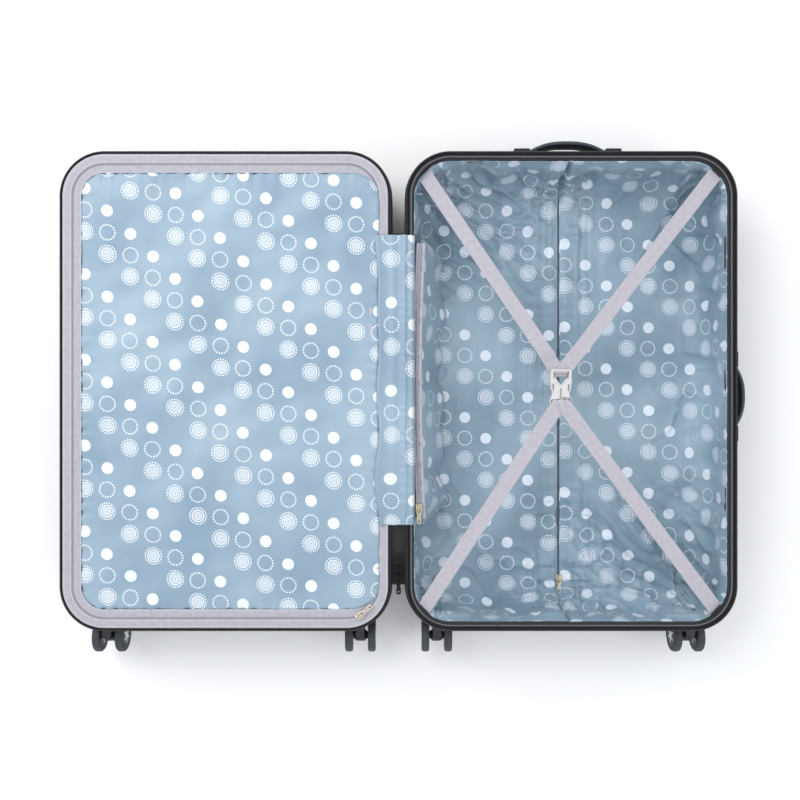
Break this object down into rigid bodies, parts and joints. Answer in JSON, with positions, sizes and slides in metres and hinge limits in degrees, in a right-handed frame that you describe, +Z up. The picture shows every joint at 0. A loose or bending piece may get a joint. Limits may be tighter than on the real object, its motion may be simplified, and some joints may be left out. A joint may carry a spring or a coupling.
{
  "type": "hard shell suitcase",
  "caption": "Hard shell suitcase shown open: lined base with crossed straps and telescopic handle, lid with zipped divider, twin-wheel casters.",
  "frame": {"origin": "centre of the flat back face of the base half, which rests on the floor when the case lies open", "axes": "+Z up from the floor, out of the open halves; +Y towards the case's top, where the telescopic handle is; +X across, from the lid half to the base half"},
  "size_m": [0.9397, 0.7265, 0.1359],
  "materials": {
    "shell": "black textured ABS shell",
    "trim": "black woven trim",
    "lining": "blue printed polyester",
    "zip_tape": "light grey zip tape",
    "webbing": "light grey woven webbing",
    "buckle": "off-white acetal",
    "tube": "satin anodised",
    "plastic": "black moulded plastic",
    "handle": "dark slate soft plastic",
    "rubber": "dark grey rubber",
    "hub": "silver white hub",
    "steel": "zinc plated",
    "slider_metal": "pale gold zip slider",
    "pull_metal": "silver zip slider",
    "black_metal": "black painted zip slider"
  },
  "bodies": {
    "base": {"base_shell": "shell", "base_rim_binding": "trim", "base_zip_chain": "trim", "base_lining": "lining", "hinge_strip": "trim", "hinge_flap": "lining", "hinge_pocket": "lining", "pocket_zip": "zip_tape", "floor_zip": "zip_tape", "strap_anchors": "webbing", "upper_strap": "webbing", "lower_strap": "webbing", "buckle_female": "buckle", "buckle_male": "buckle", "trolley_outer_tubes": "tube", "trolley_foot_brackets": "plastic", "trolley_bezel": "plastic", "handle_mounts": "plastic", "base_foot": "plastic", "base_caster_screws": "steel", "base_left_caster_housing": "plastic", "base_right_caster_housing": "plastic", "main_zip_sliders": "black_metal"},
    "lid": {"lid_shell": "shell", "lid_rim_binding": "trim", "lid_zip_chain": "trim", "lid_lining": "lining", "lid_divider_zip": "zip_tape", "lid_caster_screws": "steel", "lid_left_caster_housing": "plastic", "lid_right_caster_housing": "plastic"},
    "divider": {"divider_panel": "lining", "divider_zip": "zip_tape"},
    "divider_slider": {"divider_zip_slider": "pull_metal"},
    "divider_pull": {"divider_zip_pull": "pull_metal"},
    "pocket_slider": {"pocket_zip_slider": "slider_metal"},
    "pocket_pull": {"pocket_zip_pull": "slider_metal"},
    "floor_slider": {"floor_zip_slider": "slider_metal"},
    "floor_pull": {"floor_zip_pull": "slider_metal"},
    "main_upper_pull": {"main_zip_upper_pull": "black_metal"},
    "main_lower_pull": {"main_zip_lower_pull": "black_metal"},
    "trolley_middle": {"trolley_middle_tubes": "tube"},
    "trolley_inner": {"trolley_inner_tubes": "tube", "trolley_grip": "plastic"},
    "trolley_push": {"trolley_button": "handle", "trolley_push_bar": "steel"},
    "top_handle": {"top_handle": "handle"},
    "side_handle": {"side_handle": "handle"},
    "base_left_caster": {"base_left_caster_fork": "plastic"},
    "base_left_wheels": {"base_left_caster_tyres": "rubber", "base_left_caster_hubs_and_axle": "hub"},
    "base_right_caster": {"base_right_caster_fork": "plastic"},
    "base_right_wheels": {"base_right_caster_tyres": "rubber", "base_right_caster_hubs_and_axle": "hub"},
    "lid_left_caster": {"lid_left_caster_fork": "plastic"},
    "lid_left_wheels": {"lid_left_caster_tyres": "rubber", "lid_left_caster_hubs_and_axle": "hub"},
    "lid_right_caster": {"lid_right_caster_fork": "plastic"},
    "lid_right_wheels": {"lid_right_caster_tyres": "rubber", "lid_right_caster_hubs_and_axle": "hub"}
  },
  "joints": [
    {"name": "lid_hinge", "type": "hinge", "parent": "base", "child": "lid", "pos_m": [-0.2335, 0, 0.13], "axis": [0, 1, 0], "range_deg": [0, 180], "deforming": ["hinge_strip", "hinge_flap"]},
    {"name": "divider_hinge", "type": "hinge", "parent": "lid", "child": "divider", "pos_m": [-0.2612, 0, 0.1297], "axis": [0, -1, 0], "range_deg": [-110, 0]},
    {"name": "divider_zip_run", "type": "hinge", "parent": "divider", "child": "divider_slider", "pos_m": [-0.304, -0.263, 0.1297], "axis": [0, 0, 1], "range_deg": [-24, 60]},
    {"name": "divider_pull_swing", "type": "hinge", "parent": "divider_slider", "child": "divider_pull", "pos_m": [-0.28594, -0.30202, 0.1338], "axis": [-0.6428, 0.766, 0], "range_deg": [-150, 0]},
    {"name": "pocket_zip_run", "type": "slide", "parent": "base", "child": "pocket_slider", "axis": [0, 1, 0], "range_m": [0, 0.33]},
    {"name": "pocket_pull_swing", "type": "hinge", "parent": "pocket_slider", "child": "pocket_pull", "pos_m": [-0.206, -0.158, 0.1264], "axis": [1, 0, 0], "range_deg": [-150, 0]},
    {"name": "floor_zip_run", "type": "slide", "parent": "base", "child": "floor_slider", "axis": [0, 1, 0], "range_m": [0, 0.54]},
    {"name": "floor_pull_swing", "type": "hinge", "parent": "floor_slider", "child": "floor_pull", "pos_m": [0, -0.272, 0.034], "axis": [-1, 0, 0], "range_deg": [0, 150]},
    {"name": "main_upper_pull_swing", "type": "hinge", "parent": "base", "child": "main_upper_pull", "pos_m": [-0.2335, -0.24, 0.1301], "axis": [1, 0, 0], "range_deg": [0, 80]},
    {"name": "main_lower_pull_swing", "type": "hinge", "parent": "base", "child": "main_lower_pull", "pos_m": [-0.2335, -0.252, 0.1301], "axis": [-1, 0, 0], "range_deg": [0, 80]},
    {"name": "trolley_lower_slide", "type": "slide", "parent": "base", "child": "trolley_middle", "axis": [0, 1, 0], "range_m": [0, 0.22]},
    {"name": "trolley_upper_slide", "type": "slide", "parent": "trolley_middle", "child": "trolley_inner", "axis": [0, 1, 0], "range_m": [0, 0.22]},
    {"name": "trolley_button_press", "type": "slide", "parent": "trolley_inner", "child": "trolley_push", "axis": [0, -1, 0], "range_m": [0, 0.002], "stiffness_N_per_m": 600},
    {"name": "top_handle_lift", "type": "slide", "parent": "base", "child": "top_handle", "axis": [0, 1, 0], "range_m": [0, 0.01]},
    {"name": "side_handle_lift", "type": "slide", "parent": "base", "child": "side_handle", "axis": [1, 0, 0], "range_m": [0, 0.01]},
    {"name": "base_left_swivel", "type": "hinge", "parent": "base", "child": "base_left_caster", "pos_m": [-0.179, -0.325, 0.062], "axis": [0, 1, 0], "continuous": true},
    {"name": "base_left_wheel_spin", "type": "hinge", "parent": "base_left_caster", "child": "base_left_wheels", "pos_m": [-0.179, -0.3495, 0.05], "axis": [1, 0, 0], "continuous": true},
    {"name": "base_right_swivel", "type": "hinge", "parent": "base", "child": "base_right_caster", "pos_m": [0.179, -0.325, 0.062], "axis": [0, 1, 0], "continuous": true},
    {"name": "base_right_wheel_spin", "type": "hinge", "parent": "base_right_caster", "child": "base_right_wheels", "pos_m": [0.179, -0.3495, 0.05], "axis": [1, 0, 0], "continuous": true},
    {"name": "lid_left_swivel", "type": "hinge", "parent": "lid", "child": "lid_left_caster", "pos_m": [-0.646, -0.325, 0.062], "axis": [0, 1, 0], "continuous": true},
    {"name": "lid_left_wheel_spin", "type": "hinge", "parent": "lid_left_caster", "child": "lid_left_wheels", "pos_m": [-0.646, -0.3495, 0.05], "axis": [1, 0, 0], "continuous": true},
    {"name": "lid_right_swivel", "type": "hinge", "parent": "lid", "child": "lid_right_caster", "pos_m": [-0.288, -0.325, 0.062], "axis": [0, 1, 0], "continuous": true},
    {"name": "lid_right_wheel_spin", "type": "hinge", "parent": "lid_right_caster", "child": "lid_right_wheels", "pos_m": [-0.288, -0.3495, 0.05], "axis": [1, 0, 0], "continuous": true}
  ]
}
